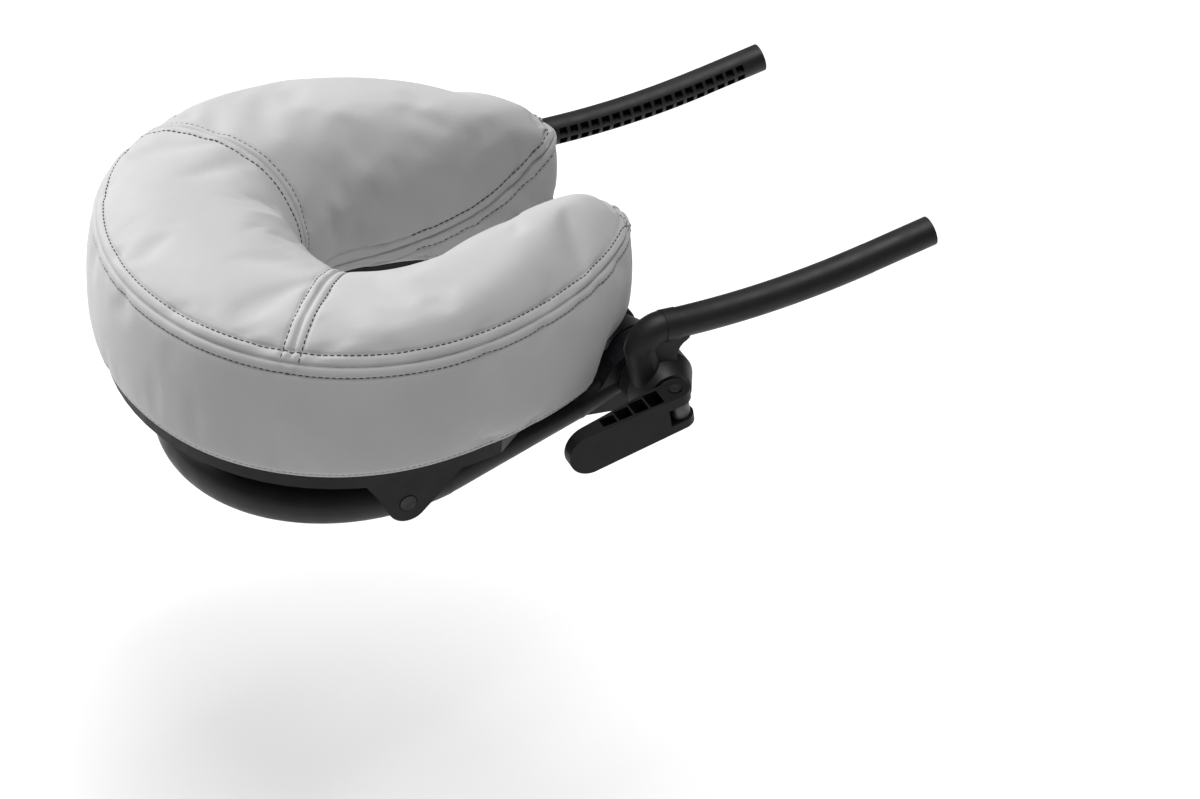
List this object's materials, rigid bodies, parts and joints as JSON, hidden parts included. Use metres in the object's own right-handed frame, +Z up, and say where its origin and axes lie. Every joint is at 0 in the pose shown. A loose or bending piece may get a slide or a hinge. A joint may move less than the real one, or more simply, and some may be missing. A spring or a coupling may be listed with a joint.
{
  "type": "massage table face cradle",
  "caption": "Adjustable face cradle with a horseshoe cushion on a tilting platform, carried by a clamped frame between two bent posts.",
  "frame": {"origin": "midway between the tips of the two posts, on the line that joins the centres of their end faces", "axes": "+Y points towards the table, from the cushion to the post tips; +Z is up; +X is the side of the clamp lever"},
  "size_m": [0.2849, 0.4712, 0.1703],
  "materials": {
    "cover": "fine-grain synthetic leather, satin",
    "foam": "open-cell polyurethane foam",
    "underside": "flat woven backing cloth",
    "loop": "brushed loop fabric",
    "hook": "moulded hook tape",
    "platform_plastic": "fine spark-textured moulding",
    "frame_plastic": "fine spark-textured moulding",
    "arm_plastic": "fine-textured glass-filled nylon",
    "link_plastic": "glass-filled nylon",
    "lever_plastic": "satin glass-filled nylon",
    "washer": "friction washer",
    "pin_dark": "black oxide steel",
    "zinc": "zinc-plated steel"
  },
  "bodies": {
    "arms": {"left_arm": "arm_plastic", "right_arm": "arm_plastic", "frame_washers": "washer"},
    "base_frame": {"base_frame": "frame_plastic", "front_pivot_pins": "pin_dark", "yoke_washers": "washer"},
    "platform": {"platform": "platform_plastic", "hook_strip_left": "hook", "hook_strip_right": "hook", "platform_screws": "zinc", "upper_pivot_pins": "zinc", "top_panels": "cover", "boxing_band": "cover", "foam_core": "foam", "underside_panel": "underside", "loop_pad_left": "loop", "loop_pad_right": "loop"},
    "yoke": {"yoke": "link_plastic"},
    "struts": {"strut_left": "link_plastic", "strut_right": "link_plastic", "lower_pivot_pins": "zinc"},
    "clamp_rod": {"clamp_rod": "zinc", "rod_washer": "zinc", "rod_nut": "zinc", "cam_plate": "washer", "cam_pin": "pin_dark"},
    "cam_lever": {"cam_lever": "lever_plastic"}
  },
  "joints": [
    {"name": "frame_swing", "type": "hinge", "parent": "arms", "child": "base_frame", "pos_m": [0, -0.17344, -0.06663], "axis": [1, 0, 0], "range_deg": [-15, 60]},
    {"name": "platform_tilt", "type": "hinge", "parent": "base_frame", "child": "platform", "pos_m": [0, -0.33644, -0.09963], "axis": [1, 0, 0], "range_deg": [0, 14]},
    {"name": "yoke_swing", "type": "hinge", "parent": "base_frame", "child": "yoke", "pos_m": [0, -0.17344, -0.06663], "axis": [1, 0, 0], "range_deg": [-25, 0.5]},
    {"name": "strut_swing", "type": "hinge", "parent": "platform", "child": "struts", "pos_m": [0, -0.23244, -0.08463], "axis": [1, 0, 0], "range_deg": [-35, 0.5]},
    {"name": "rod_turn", "type": "hinge", "parent": "arms", "child": "clamp_rod", "pos_m": [0, -0.17344, -0.06663], "axis": [1, 0, 0], "range_deg": [-20, 190]},
    {"name": "lever_release", "type": "hinge", "parent": "clamp_rod", "child": "cam_lever", "pos_m": [0.1339, -0.17344, -0.06663], "axis": [0, -0.225, 0.9744], "range_deg": [0, 95]}
  ],
  "couplings": [
    {"joint": "yoke_swing", "follows": "platform_tilt", "ratio": -1.693},
    {"joint": "strut_swing", "follows": "platform_tilt", "ratio": -2.397}
  ]
}
